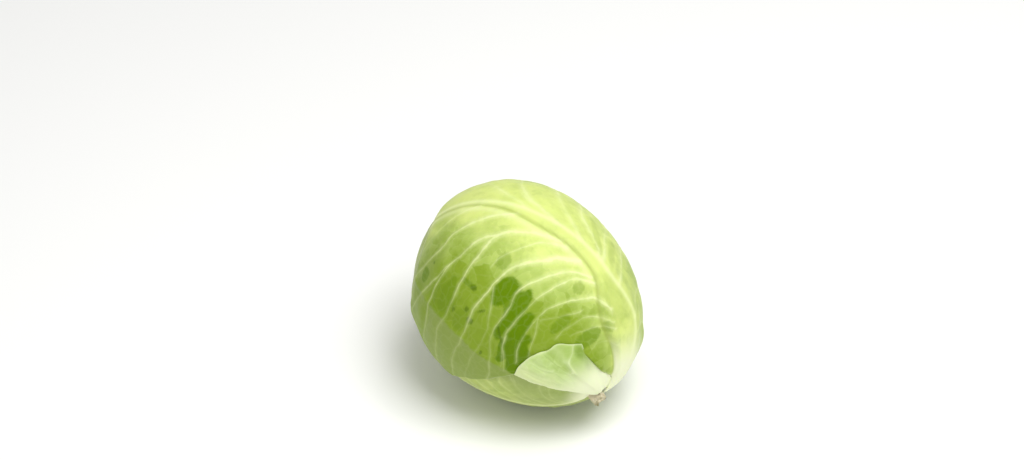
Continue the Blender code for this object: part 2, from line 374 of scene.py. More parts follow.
@dataclass
class Leaf:
    """One leaf of the head: the form that it wraps, its own plan, and its finish."""

    form: HeadForm
    plan: LeafPlan
    finish: "LeafFinish"
    hem_fade: float = 1.6
    row_level_off: float = 26.0
    vein_height: float = 0.6
    vein_reach: float = 2.6
    pillow: float = 0.45
    crease_width: float = 1.5
    crest_width: float = 2.6
    bank_beyond: float = 4.5
    bank_width: float = 3.0

    def direction(self, up: np.ndarray, turn: np.ndarray) -> np.ndarray:
        """Return unit vectors for places on the leaf.

        Args:
            up: way up the rib from the stalk's end.
            turn: turn about the stalk from the rib.

        Returns:
            Unit vectors in head axes: a Moebius map puts the leaf's two poles, the stalk's end and
            the point its rib heads for, where they are on the head.
        """
        theta, phi = (math.radians(a) for a in self.plan.ends_at)
        far = math.tan(theta / 2.0) * np.exp(1j * phi)
        place = np.tan(np.radians(up) / 2.0) * np.exp(1j * np.radians(turn + self.plan.azimuth))
        place = place / (1.0 + place / far)
        theta, phi = 2.0 * np.arctan(np.abs(place)), np.angle(place)
        return np.stack([np.sin(theta) * np.cos(phi), np.sin(theta) * np.sin(phi), np.cos(theta)], -1)

    def spread(self, across: np.ndarray, share: np.ndarray) -> tuple:
        """Turn places on the flat grid into places on the leaf.

        Args:
            across: -1 at the right margin, 0 on the rib, 1 at the left margin.
            share: 0 at the leaf's base, 1 at its tip.

        Returns:
            The ways up the rib and the turns from it.
        """
        plan, line = self.plan, self.plan.outline
        start = line.base + share * (line.tip - line.base)
        wide = np.where(across < 0.0, through(line.right, start), through(line.left, start))
        along = np.stack([share * 260.0, np.sign(across) * 50.0, np.full_like(share, plan.seed * 7.0)], -1)
        torn = 0.02 * soft_noise(along, 17.0, plan.seed) + 0.008 * soft_noise(along, 5.0, plan.seed)
        turn = across * wide * (1.0 + line.ragged * torn * abs(across) ** 6)
        climb = line.row_climb * smooth(share / 0.2) * (1.0 - share)
        up = start + climb * (1.0 - np.exp(-abs(turn) / self.row_level_off))
        up = up + through(line.hem, turn) * (1.0 - share) ** self.hem_fade
        up = up - through(line.top, turn) * share - line.tip_round * share ** 4 * across ** 2
        beside = np.stack([turn * 1.6, share * 0.0, share * 0.0 + plan.seed], -1)
        waved = 0.5 * soft_noise(beside, 9.0, plan.seed + 5)
        up = up + line.ragged * waved * ((1.0 - smooth(share / 0.1)) + smooth((share - 0.9) / 0.1))
        return up, turn

    def reach(self, up: np.ndarray, turn: np.ndarray) -> tuple:
        """Measure a degree at each place.

        Args:
            up: ways up the rib.
            turn: turns from it.

        Returns:
            The millimetres in a degree up the rib, and in a degree round it.
        """
        here = self.form.place(self.direction(up, turn), 0.0)
        above = self.form.place(self.direction(up + 0.5, turn), 0.0)
        beside = self.form.place(self.direction(up, turn + 0.5), 0.0)
        return (2.0 * np.linalg.norm(above - here, axis=-1) + 1e-6,
                2.0 * np.linalg.norm(beside - here, axis=-1) + 1e-6)

    def vein_fields(self, up: np.ndarray, turn: np.ndarray, reach: tuple, waver: np.ndarray,
                    veins: tuple) -> dict:
        """Find the nearest of some veins to each place.

        Args:
            up: ways up the rib.
            turn: turns from it.
            reach: millimetres for a degree of each.
            waver: millimetres by which a vein strays from its smooth line.
            veins: veins that run well apart.

        Returns:
            Arrays by name: the distance to the vein, the same in its half widths and negative
            below it, and how strongly it shows.
        """
        gap = np.full(up.shape, 99.0)
        found = {"aside": gap.copy(), "show": np.zeros(up.shape)}
        for vein in veins:
            side = math.copysign(1.0, vein.places[-1][0])
            line = tuple((abs(t), u) for t, u in vein.places)
            out = side * turn
            first, last = line[0][0], line[-1][0]
            steep = through(line, out + 0.5) - through(line, out - 0.5)
            off = (up - through(line, out)) / np.hypot(1.0 / reach[0], steep / reach[1]) + waver
            past = np.maximum(first - out, out - last).clip(0.0) * reach[1]
            along = np.clip((out - first) / (last - first), 0.0, 1.0)
            half = vein.half_width[0] + (vein.half_width[1] - vein.half_width[0]) * smooth(3.0 * along)
            show = vein.strength * (1.0 - smooth(past / 4.0)) * (1.0 - 0.55 * smooth(1.4 * along))
            far = np.hypot(off, past)
            closer = far < gap
            gap = np.where(closer, far, gap)
            found["aside"] = np.where(closer, off / half, found["aside"])
            found["show"] = np.where(closer, show, found["show"])
        found["gap"] = gap
        found["show"] = found["show"] * (1.0 - smooth((gap - self.vein_reach) / 2.0))
        return found

    def rib_fields(self, up: np.ndarray, turn: np.ndarray, reach: tuple) -> dict:
        """Work out the rib: a ridge with a long right flank, a short left one and a crease at its foot.

        Args:
            up: ways up the rib.
            turn: turns from it.
            reach: millimetres for a degree of each.

        Returns:
            Arrays by name: its height in millimetres, how near a place is to the crest and the
            crease, 0 to 1, and the distance left of the crest in millimetres.
        """
        rib = self.plan.rib
        beside = (turn - through(rib.crest, up)) * reach[1]
        foot = np.maximum((through(rib.foot, up) - through(rib.crest, up)) * reach[1], 2.0)
        flank = np.minimum(rib.left_flank, foot)
        high, wide = through(rib.height, up), through(rib.right_flank, up)
        left = smooth((beside - foot + flank) / flank)
        ridge = np.where(beside < 0.0, np.exp(-(beside / wide) ** 2), 1.0 - left)
        # The crease marks the rib's small dip, and also where the finish lays painted shade at its foot.
        crease = np.exp(-((beside - foot) / self.crease_width) ** 2)
        bank = np.exp(-((beside - foot - self.bank_beyond) / self.bank_width) ** 2)
        bank = bank * smooth((up - 50.0) / 15.0)
        height = high * ridge + np.minimum(high, 1.5) * (0.15 * bank - 0.12 * crease)
        # The crest share is where the finish paints the crest paler: partly the pale rib, partly a painted
        # highlight.
        on_crest = np.exp(-((beside + 0.5) / self.crest_width) ** 2)
        return {"height": height, "crest": rib.shown * on_crest, "crease": rib.shown * crease,
                "bank": rib.shown * bank, "beside": beside, "foot": foot}

    def colour_fields(self, up: np.ndarray, turn: np.ndarray, points: np.ndarray, rib: dict) -> dict:
        """Work out where the leaf is green, bloomed, rubbed, cream and in painted shade past its fold.

        Args:
            up: ways up the rib.
            turn: turns from it.
            points: the places in the head, in millimetres.
            rib: what rib_fields returned.

        Returns:
            Arrays by name, each a share from 0 to 1.
        """
        look, seed = self.plan.complexion, self.plan.seed
        wander = soft_noise(points, 7.0, seed + 41) + 0.5 * soft_noise(points, 3.5, seed + 42)
        cloud = soft_noise(points, 24.0, seed + 43)
        shifted = abs(turn) + look.nearer_below * (1.0 - smooth((up - 50.0) / 20.0))
        green = np.where(turn < 0.0, through(look.right, shifted), through(look.left, shifted))
        green = green * (1.0 - 0.4 * smooth((up - 138.0) / 12.0)) + 0.05 * cloud
        high = smooth((up - 124.0) / 12.0) * smooth((abs(turn) - 20.0) / 30.0)
        bloom = look.bloom * (1.0 + 0.5 * cloud) + 0.25 * high
        rubbed, speck = np.zeros(up.shape), np.zeros(up.shape)
        for patch in look.rubbed:
            inside = patch.share(turn, up) + 0.3 * wander
            rubbed = np.maximum(rubbed, patch.strength * smooth(inside / patch.soft))
        for patch in look.specks:
            speck = np.maximum(speck, patch.strength * smooth((patch.share(turn, up) + 0.4 * wander) / 0.6))
        # Painted shade: past the fold, on the side turned from the light, the leaf is painted greyer with
        # extra bloom and the rubbed patches there are cleared.
        if look.fold:
            past = smooth((turn - through(look.fold, up) + 0.8 + 1.3 * wander) / 1.8)
            past = past * (1.0 - smooth((up - 118.0) / 10.0))
            bloom, rubbed = bloom + 0.4 * past, rubbed * (1.0 - past)
        start, end = look.cream_to
        cream = 1.0 - smooth((up - start) / (end - start))
        left = smooth((rib["beside"] - rib["foot"] + 2.0) / 3.0)
        cream = cream * (1.0 - (1.0 - look.cream_left) * left)
        return {"green": green, "bloom": np.clip(bloom, 0.0, 0.9), "rubbed": rubbed, "speck": speck,
                "cream": cream}

    def build(self) -> bpy.types.Object:
        """Model the leaf from a grid, give it its thickness and dress it.

        Returns:
            The finished object.
        """
        plan = self.plan
        piece = add_grid(plan.name, plan.columns, plan.rows)
        mesh = piece.data
        flat = np.zeros(len(mesh.vertices) * 3, np.float32)
        mesh.vertices.foreach_get("co", flat)
        flat = flat.reshape(-1, 3).astype(float)
        order = np.lexsort((flat[:, 0], flat[:, 1]))
        shape = (plan.rows + 1, plan.columns + 1)
        across = -flat[order, 0].reshape(shape)
        share = 0.5 * (flat[order, 1].reshape(shape) + 1.0)
        up, turn = self.spread(across, share)
        direction = self.direction(up, turn)
        ground = self.form.place(direction, plan.depth)
        margin = self.distance_to_margin(ground)
        reach = self.reach(up, turn)
        rib = self.rib_fields(up, turn, reach)
        waver = (0.9 * soft_noise(ground, 11.0, plan.seed + 51)
                 + 0.35 * soft_noise(ground, 4.5, plan.seed + 52))
        veins = [self.vein_fields(up, turn, reach, waver, some) for some in plan.vein_layers()]
        proud = rib["height"] * smooth(margin / 3.0 + 0.4)
        proud = proud + self.relief(up, turn, ground, rib, veins, margin)
        tuck = plan.edge_tuck * np.exp(-(margin / 5.0) ** 2)
        points = self.form.place(direction, plan.depth - proud + tuck)
        # The edge share is where the finish paints a light rim along the margin: a painted highlight.
        fields = {**self.colour_fields(up, turn, ground, rib), "edge": np.exp(-(margin / 1.3) ** 2),
                  "crest": rib["crest"], "crease": rib["crease"], "bank": rib["bank"]}
        for layer, found in enumerate(veins):
            fields[f"aside_{layer}"], fields[f"show_{layer}"] = found["aside"], found["show"]
        packed = np.empty_like(flat)
        packed[order] = points.reshape(-1, 3) * MM
        mesh.vertices.foreach_set("co", packed.astype(np.float32).ravel())
        for name, values in fields.items():
            stored = np.empty(len(flat), np.float32)
            stored[order] = values.reshape(-1)
            mesh.attributes.new(name, "FLOAT", "POINT").data.foreach_set("value", stored)
        group = piece.vertex_groups.new(name="thickness")
        levels = np.round(smooth(margin / 14.0).reshape(-1) * 20.0) / 20.0
        for level in np.unique(levels):
            members = order[np.nonzero(levels == level)[0]]
            group.add(members.tolist(), float(level), "REPLACE")
        thicken(piece, plan.thickness, plan.thin_edge / plan.thickness, "thickness")
        mesh.shade_smooth()
        mesh.materials.append(self.finish.material(plan.name))
        claim(piece, plan.name)
        return piece

    def relief(self, up: np.ndarray, turn: np.ndarray, points: np.ndarray, rib: dict, veins: list,
               margin: np.ndarray) -> np.ndarray:
        """Work out how proud the blade stands: veins, pillows between them, puckers, fold and swells.

        Args:
            up: ways up the rib.
            turn: turns from it.
            points: the places in the head, in millimetres.
            rib: what rib_fields returned.
            veins: what vein_fields returned for each layer of veins.
            margin: distance from the margin, in millimetres.

        Returns:
            Millimetres that each place stands proud.
        """
        plan = self.plan
        line = np.max([np.exp(-(found["aside"] / 1.35) ** 2) * found["show"] for found in veins], axis=0)
        pillow = self.pillow * smooth(np.min([found["gap"] for found in veins], axis=0) / 7.0)
        pucker = (0.26 * soft_noise(points, 13.0, plan.seed + 21)
                  + 0.12 * soft_noise(points, 5.5, plan.seed + 22))
        blade = smooth((abs(rib["beside"]) - 3.0) / 9.0)
        proud = (self.vein_height * line + (pillow + pucker) * blade) * smooth(margin / 4.0)
        if plan.complexion.fold:
            past = (turn - through(plan.complexion.fold, up)) * 1.3
            proud = proud + 0.8 * np.exp(-(past / 4.0) ** 2) * smooth(margin / 10.0)
        for swell in plan.swells:
            proud = proud + swell.strength * np.exp(swell.share(turn, up) - 1.0)
        return proud

    @staticmethod
    def distance_to_margin(points: np.ndarray) -> np.ndarray:
        """Measure how far the points of a grid are from the leaf's margin.

        Args:
            points: the grid, row by row, in millimetres.

        Returns:
            Each point's distance, along its row or its column, whichever is shorter.
        """
        across = np.linalg.norm(np.diff(points, axis=1), axis=-1)
        along = np.linalg.norm(np.diff(points, axis=0), axis=-1)
        left = np.concatenate([np.zeros((len(points), 1)), np.cumsum(across, axis=1)], 1)
        low = np.concatenate([np.zeros((1, points.shape[1])), np.cumsum(along, axis=0)], 0)
        return np.minimum(np.minimum(left, left[:, -1:] - left), np.minimum(low, low[-1:] - low))


def deselect_all() -> None:
    """Leave nothing selected, so that an operator acts only on what is added next."""
    for thing in bpy.context.view_layer.objects:
        thing.select_set(False)


def add_grid(name: str, columns: int, rows: int) -> bpy.types.Object:
    """Add a flat grid, two units wide.

    Args:
        name: the piece's name.
        columns: faces across.
        rows: faces along.

    Returns:
        The grid object.
    """
    deselect_all()
    bpy.ops.mesh.primitive_grid_add(x_subdivisions=columns, y_subdivisions=rows, size=2.0)
    piece = bpy.context.object
    piece.name = piece.data.name = f"{name}_visual"
    return piece


def thicken(piece: bpy.types.Object, thickness: float, thinnest: float, group: str) -> None:
    """Give a leaf its thickness, inwards, thinner at its margin.

    Args:
        piece: the leaf's outer surface.
        thickness: in millimetres.
        thinnest: the share of it that is left at the margin.
        group: the vertex group that says where it is full.
    """
    wall = piece.modifiers.new("thickness", "SOLIDIFY")
    wall.thickness = thickness * MM
    wall.offset = -1.0
    wall.use_rim = True
    wall.vertex_group = group
    wall.thickness_vertex_group = thinnest
    bpy.context.view_layer.objects.active = piece
    bpy.ops.object.modifier_apply(modifier=wall.name)


def claim(piece: bpy.types.Object, node: str) -> None:
    """Say what a piece stands for.

    Args:
        piece: the finished piece.
        node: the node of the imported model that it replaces.
    """
    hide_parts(node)
    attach(piece, "root")
    LOG.info("%s: %d faces", piece.name, len(piece.data.polygons))


def linear(colour: str) -> tuple:
    """Turn an sRGB hex colour, such as "#d8e8a0", into linear light with full alpha."""
    parts = (int(colour[i:i + 2], 16) / 255.0 for i in (1, 3, 5))
    return (*(p / 12.92 if p <= 0.04045 else ((p + 0.055) / 1.055) ** 2.4 for p in parts), 1.0)


class NodeSheet:
    """The node tree of one material, with one short way to add nodes to it."""

    def __init__(self, name: str) -> None:
        """Start a material with an empty tree.

        Args:
            name: the material's name.
        """
        self.material = bpy.data.materials.new(name)
        self.material.use_nodes = True
        self.tree = self.material.node_tree
        self.tree.nodes.clear()

    def add(self, kind: str, settings: dict | None = None, inputs: dict | None = None,
            out: int | str = 0) -> bpy.types.NodeSocket | None:
        """Add a node.

        Args:
            kind: the node's type, without "ShaderNode".
            settings: its properties by name.
            inputs: its inputs by name or place; a socket is linked, and a number, a vector or a hex
                colour is set on the input itself.
            out: which of its outputs is wanted.

        Returns:
            The output socket, or nothing for a node without one.
        """
        node = self.tree.nodes.new(f"ShaderNode{kind}")
        for key, value in (settings or {}).items():
            setattr(node, key, value)
        for key, value in (inputs or {}).items():
            if isinstance(value, bpy.types.NodeSocket):
                self.tree.links.new(value, node.inputs[key])
            else:
                node.inputs[key].default_value = linear(value) if isinstance(value, str) else value
        return node.outputs[out] if len(node.outputs) else None


@dataclass(frozen=True)
class LeafFinish:
    """A fresh white cabbage leaf: a smooth, turgid blade under a thin grey wax bloom.

    The bloom scatters light, so the green looks milky; where it is rubbed off, the leaf is a deeper
    green. Veins hold little chlorophyll, so they and the rib are near white. The crease at the rib's foot
    is painted darker as painted shade, the crest paler, partly as pale rib and partly as a painted
    highlight, and each margin gets a painted light rim. Shares are from 0 to 1.
    """

    fair: str = "#d6e482"
    middle: str = "#a9bf5c"
    deep: str = "#849e24"
    rubbed: str = "#628300"
    bloomed: str = "#9aa66a"
    speck: str = "#526e0c"
    vein: str = "#eaf2b2"
    # Painted shade: the olive laid in the crease at the rib's foot.
    crease: str = "#90a044"
    cream: str = "#f0f6cd"
    bank_share: float = 0.4
    # How strongly the crease is painted with shade.
    crease_shade_share: float = 0.6
    # How strongly the crest is painted paler, partly as pale rib and partly as a painted highlight.
    crest_pale_and_highlight: float = 0.6
    # How strongly each margin is painted with a light rim, a painted highlight.
    edge_highlight_share: float = 0.35
    roughness: float = 0.42
    mottle_mm: float = 14.0
    cell_mm: float = 9.0
    bend_mm: float = 12.0
    bend_reach: float = 12.0
    fray_mm: float = 4.0
    fade_mm: float = 17.0
    grain_mm: float = 2.2

    def material(self, name: str) -> bpy.types.Material:
        """Return the finish as a material.

        Args:
            name: the leaf's name.

        Returns:
            The material.
        """
        sheet = NodeSheet(f"waxy cabbage leaf {name}")
        place = sheet.add("TexCoord", out="Object")
        fields = {field_name: sheet.add("Attribute", {"attribute_name": field_name}, out="Fac")
                  for field_name in FINISH_FIELDS}
        cell, net = self.finest_veins(sheet, place)
        pale = self.vein_paleness(sheet, place, fields["bloom"])
        colour = self.blade_colour(sheet, place, fields["green"], cell)
        # The crease layer is painted shade, the crest layer partly pale rib and partly a painted highlight,
        # the edge layer a painted light rim; bloom carries painted shade past a fold, and rubbed one patch
        # of painted shade.
        layers = ((fields["bloom"], 1.0, self.bloomed), (fields["rubbed"], 1.0, self.rubbed),
                  (fields["speck"], 1.0, self.speck), (net, 1.0, self.vein), (pale, 1.0, self.vein),
                  (fields["bank"], self.bank_share, self.vein),
                  (fields["crease"], self.crease_shade_share, self.crease),
                  (fields["crest"], self.crest_pale_and_highlight, self.vein), (fields["cream"], 1.0, self.cream),
                  (fields["edge"], self.edge_highlight_share, self.cream))
        for where, strength, over in layers:
            share = sheet.add("Math", MULTIPLY, {0: where, 1: strength})
            colour = sheet.add("Mix", COLOURS, {0: share, 6: colour, 7: over}, MIXED_COLOUR)
        grain = sheet.add("TexNoise", {}, {"Vector": place, "Scale": 1000.0 / self.grain_mm,
                                           "Detail": 3.0})
        proud = sheet.add("Math", MULTIPLY, {0: pale, 1: 0.8})
        height = sheet.add("Math", {"operation": "MULTIPLY_ADD"}, {0: grain, 1: 0.6, 2: proud})
        bump = sheet.add("Bump", {}, {"Strength": 0.4, "Distance": 0.5 * MM, "Height": height})
        shader = sheet.add("BsdfPrincipled", {}, {
            "Base Color": colour, "Normal": bump, "Roughness": self.roughness, "IOR": 1.42,
            "Specular IOR Level": 0.12, "Subsurface Weight": 0.1,
            "Subsurface Radius": (0.004, 0.006, 0.0015), "Subsurface Scale": 0.5})
        sheet.add("OutputMaterial", {}, {"Surface": shader})
        return sheet.material

    def finest_veins(self, sheet: NodeSheet, place: bpy.types.NodeSocket) -> tuple:
        """Draw the net of the finest veins, bent out of its straight lines.

        Args:
            sheet: the material's nodes.
            place: the place on the leaf.

        Returns:
            A number from -0.5 to 0.5 that differs from cell to cell, and a share for the net.
        """
        bend = sheet.add("TexNoise", {}, {"Vector": place, "Scale": 1000.0 / self.bend_mm,
                                          "Detail": 2.0}, "Color")
        reach = (self.bend_reach * MM,) * 3
        bent = sheet.add("VectorMath", {"operation": "MULTIPLY_ADD"}, {0: bend, 1: reach, 2: place})
        scale = 1000.0 / self.cell_mm
        cells = sheet.add("TexVoronoi", {}, {"Vector": bent, "Scale": scale}, "Color")
        tone = sheet.add("SeparateColor", {}, {"Color": cells}, "Red")
        cell = sheet.add("Math", {"operation": "SUBTRACT"}, {0: tone, 1: 0.5})
        edge = sheet.add("TexVoronoi", {"feature": "DISTANCE_TO_EDGE"}, {"Vector": bent, "Scale": scale},
                         "Distance")
        net = sheet.add("MapRange", EASED, {"Value": edge, "From Max": 0.12, "To Min": 0.035,
                                            "To Max": 0.0})
        return cell, net

    def blade_colour(self, sheet: NodeSheet, place: bpy.types.NodeSocket, green: bpy.types.NodeSocket,
                     cell: bpy.types.NodeSocket) -> bpy.types.NodeSocket:
        """Colour the blade from fair to deep green, mottled and a little different in each cell.

        Args:
            sheet: the material's nodes.
            place: the place on the leaf.
            green: how green it is there.
            cell: what differs from cell to cell.

        Returns:
            The colour.
        """
        mottle = sheet.add("TexNoise", {}, {"Vector": place, "Scale": 1000.0 / self.mottle_mm,
                                            "Detail": 4.0, "Roughness": 0.6})
        mottle = sheet.add("MapRange", EASED, {"Value": mottle, "From Min": 0.3, "From Max": 0.7,
                                               "To Min": -0.09, "To Max": 0.09})
        green = sheet.add("Math", {"operation": "ADD"}, {0: green, 1: mottle})
        depth = sheet.add("MapRange", EASED, {"Value": green, "From Max": 0.6, "To Min": 0.05,
                                              "To Max": 0.2})
        green = sheet.add("Math", {"operation": "MULTIPLY_ADD"}, {0: cell, 1: depth, 2: green})
        share = sheet.add("MapRange", EASED, {"Value": green, "From Max": 0.5})
        colour = sheet.add("Mix", COLOURS, {0: share, 6: self.fair, 7: self.middle}, MIXED_COLOUR)
        share = sheet.add("MapRange", EASED, {"Value": green, "From Min": 0.42, "From Max": 0.85})
        return sheet.add("Mix", COLOURS, {0: share, 6: colour, 7: self.deep}, MIXED_COLOUR)

    def vein_paleness(self, sheet: NodeSheet, place: bpy.types.NodeSocket,
                      bloom: bpy.types.NodeSocket) -> bpy.types.NodeSocket:
        """Draw the veins: a crisp pale core in softer pale flesh, fainter in places and under bloom.

        Args:
            sheet: the material's nodes.
            place: the place on the leaf.
            bloom: how thick the wax bloom is there.

        Returns:
            How pale the veins make the leaf, as a share.
        """
        frayed = sheet.add("TexNoise", {}, {"Vector": place, "Scale": 1000.0 / self.fray_mm,
                                            "Detail": 2.0})
        frayed = sheet.add("MapRange", EASED, {"Value": frayed, "From Min": 0.3, "From Max": 0.7,
                                               "To Min": -0.2, "To Max": 0.35})
        pale = 0.0
        for layer in range(VEIN_LAYERS):
            aside = sheet.add("Attribute", {"attribute_name": f"aside_{layer}"}, out="Fac")
            shown = sheet.add("Attribute", {"attribute_name": f"show_{layer}"}, out="Fac")
            aside = sheet.add("Math", {"operation": "ABSOLUTE"}, {0: aside})
            aside = sheet.add("Math", {"operation": "ADD"}, {0: aside, 1: frayed})
            core = sheet.add("MapRange", EASED, {"Value": aside, "From Min": 0.2, "From Max": 1.3,
                                                 "To Min": 0.36, "To Max": 0.0})
            flesh = sheet.add("MapRange", EASED, {"Value": aside, "From Min": 0.4, "From Max": 4.2,
                                                  "To Min": 0.32, "To Max": 0.0})
            line = sheet.add("Math", {"operation": "ADD"}, {0: core, 1: flesh})
            line = sheet.add("Math", MULTIPLY, {0: line, 1: shown})
            pale = sheet.add("Math", {"operation": "MAXIMUM"}, {0: pale, 1: line})
        fade = sheet.add("TexNoise", {}, {"Vector": place, "Scale": 1000.0 / self.fade_mm,
                                          "Detail": 3.0})
        fade = sheet.add("MapRange", EASED, {"Value": fade, "From Min": 0.32, "From Max": 0.6,
                                             "To Min": 0.5, "To Max": 1.0})
        pale = sheet.add("Math", MULTIPLY, {0: pale, 1: fade})
        veiled = sheet.add("MapRange", EASED, {"Value": bloom, "From Min": 0.2, "From Max": 0.6,
                                               "To Min": 1.0, "To Max": 0.7})
        return sheet.add("Math", MULTIPLY, {0: pale, 1: veiled})


@dataclass(frozen=True)
class HeartFinish:
    """The blanched leaves inside a head, which light never reached: cream, faintly yellow."""

    body: str = "#f0edb8"
    shade: str = "#dfe29a"
    cloud_mm: float = 9.0
    roughness: float = 0.45

    def material(self, name: str) -> bpy.types.Material:
        """Return the finish as a material.

        Args:
            name: the material's name.

        Returns:
            The material.
        """
        sheet = NodeSheet(name)
        place = sheet.add("TexCoord", out="Object")
        cloud = sheet.add("TexNoise", {}, {"Vector": place, "Scale": 1000.0 / self.cloud_mm,
                                           "Detail": 3.0})
        share = sheet.add("MapRange", EASED, {"Value": cloud, "From Min": 0.35, "From Max": 0.7})
        colour = sheet.add("Mix", COLOURS, {0: share, 6: self.body, 7: self.shade}, MIXED_COLOUR)
        shader = sheet.add("BsdfPrincipled", {}, {"Base Color": colour, "Roughness": self.roughness})
        sheet.add("OutputMaterial", {}, {"Surface": shader})
        return sheet.material


@dataclass(frozen=True)
class StalkFinish:
    """Cut cabbage stalk: pale woody pith, dried to a dull olive where its fibres stand."""

    pith: str = "#f3ebcb"
    fibre: str = "#e6d9b2"
    dried: str = "#857f4a"
    fibre_mm: float = 2.5
    dried_mm: float = 4.0
    grain_mm: float = 1.2
    roughness: float = 0.7

    def material(self, name: str) -> bpy.types.Material:
        """Return the finish as a material.

        Args:
            name: the material's name.

        Returns:
            The material.
        """
        sheet = NodeSheet(name)
        place = sheet.add("TexCoord", out="Object")
        fibres = sheet.add("TexNoise", {}, {"Vector": place, "Scale": 1000.0 / self.fibre_mm,
                                            "Detail": 4.0})
        share = sheet.add("MapRange", EASED, {"Value": fibres, "From Min": 0.35, "From Max": 0.65})
        colour = sheet.add("Mix", COLOURS, {0: share, 6: self.pith, 7: self.fibre}, MIXED_COLOUR)
        patchy = sheet.add("TexNoise", {}, {"Vector": place, "Scale": 1000.0 / self.dried_mm,
                                            "Detail": 3.0})
        patchy = sheet.add("MapRange", EASED, {"Value": patchy, "From Min": 0.25, "From Max": 0.6})
        dry = sheet.add("Attribute", {"attribute_name": "dry"}, out="Fac")
        dry = sheet.add("Math", MULTIPLY, {0: dry, 1: patchy})
        colour = sheet.add("Mix", COLOURS, {0: dry, 6: colour, 7: self.dried}, MIXED_COLOUR)
        grain = sheet.add("TexNoise", {}, {"Vector": place, "Scale": 1000.0 / self.grain_mm,
                                           "Detail": 4.0, "Roughness": 0.65})
        bump = sheet.add("Bump", {}, {"Strength": 0.35, "Distance": 0.6 * MM, "Height": grain})
        shader = sheet.add("BsdfPrincipled", {}, {"Base Color": colour, "Normal": bump,
                                                  "Roughness": self.roughness})
        sheet.add("OutputMaterial", {}, {"Surface": shader})
        return sheet.material


@dataclass
class Stalk:
    """The core of the head, which tapers into it; its cut end is rough and a little dished."""

    form: HeadForm
    top_at: float = 22.0
    cut_at: float = 99.9
    top_radius: float = 9.0
    cut_radius: float = 5.6
    off_centre: tuple = (-3.6, -0.1, -4.0)
    dish: float = 0.9
    prongs: tuple = ((186.0, 2.2), (226.0, 2.8), (70.0, 1.0))
    sides: int = 72
    side_rings: int = 3
    side_ring: float = 0.8
    end_rings: int = 8
    end_ring: float = 0.62
    seed: int = 3

    def build(self) -> bpy.types.Object:
        """Model the stalk upright from a cone, roughen its cut end and lay it in the head.

        Returns:
            The finished object.
        """
        deselect_all()
        long = self.cut_at - self.top_at
        bpy.ops.mesh.primitive_cone_add(vertices=self.sides, radius1=self.top_radius * MM,
                                        radius2=self.cut_radius * MM, depth=long * MM)
        piece = bpy.context.object
        piece.name = piece.data.name = "stalk_visual"
        self.cut_rings(piece)
        self.roughen(piece.data, long)
        axes = self.form.axes()
        turn = Matrix([list(axes[:, i]) for i in range(3)]).to_4x4()
        middle = axes[2] * 0.5 * (self.cut_at + self.top_at) + (0.0, 0.0, self.form.centre_height)
        middle = middle + self.off_centre
        piece.data.transform(Matrix.Translation(Vector(middle * MM)) @ turn)
        piece.data.materials.append(StalkFinish().material("cut stalk pith"))
        piece.data.shade_smooth()
        claim(piece, "stalk")
        return piece

    def cut_rings(self, piece: bpy.types.Object) -> None:
        """Lengthen the stalk towards its cut end and give the end a middle point.

        It is meant to ring the side near the cut and to inset the end ring by ring. Known fault: only
        faces are picked here, and the new cone's points and edges are still selected, so edit mode
        takes the whole cone. Each extrude leaves an inside-out copy of it behind, and the insets do
        nothing. Deselecting the points and edges first mends it, and changes the cut end's shape.

        Args:
            piece: the upright stalk.
        """
        mesh = piece.data
        for face in mesh.polygons:
            face.select = face.normal.z > 0.9
        bpy.ops.object.mode_set(mode="EDIT")
        bpy.ops.mesh.select_mode(type="FACE")
        lift = {"value": (0.0, 0.0, self.side_ring * MM)}
        for _ in range(self.side_rings):
            bpy.ops.mesh.extrude_region_move(TRANSFORM_OT_translate=lift)
        for _ in range(self.end_rings):
            bpy.ops.mesh.inset(thickness=self.end_ring * MM, depth=0.0)
        bpy.ops.mesh.poke()
        bpy.ops.object.mode_set(mode="OBJECT")

    def roughen(self, mesh: bpy.types.Mesh, long: float) -> None:
        """Dish and roughen the cut end, raise ragged fibres on its rim and store where it has dried.

        Args:
            mesh: the upright stalk.
            long: its length in millimetres.
        """
        points = np.zeros(len(mesh.vertices) * 3, np.float32)
        mesh.vertices.foreach_get("co", points)
        points = points.reshape(-1, 3).astype(float) / MM
        out = np.hypot(points[:, 0], points[:, 1])
        end = smooth((points[:, 2] - 0.5 * long + 0.4) / 1.2)
        share = out / self.cut_radius
        ring = np.exp(-((share - 0.93) / 0.16) ** 2)
        rough = soft_noise(points * (1.0, 1.0, 0.0), 3.2, self.seed)
        round_at = np.degrees(np.arctan2(points[:, 1], points[:, 0]))
        prong = np.zeros(len(points))
        for at, high in self.prongs:
            away = (round_at - at + 180.0) % 360.0 - 180.0
            prong += high * np.exp(-(away / 12.0) ** 2)
        fibres = ring * (prong + 2.0 * np.maximum(rough - 0.2, 0.0))
        points[:, 2] += end * (-self.dish * (1.0 - share ** 2) + 0.3 * rough + fibres)
        side = soft_noise(points * (1.0, 1.0, 0.2), 3.0, self.seed + 1)
        points[:, :2] *= (1.0 + 0.07 * end * ring * side)[:, None]
        mesh.vertices.foreach_set("co", (points * MM).astype(np.float32).ravel())
        dry = 0.05 + 0.4 * smooth((share - 0.75) / 0.25) + 0.5 * ring * np.minimum(prong, 1.5)
        dry = np.clip(dry, 0.0, 1.0) * smooth((points[:, 2] - 0.5 * long + 1.0) / 2.5)
        mesh.attributes.new("dry", "FLOAT", "POINT").data.foreach_set("value", dry.astype(np.float32))


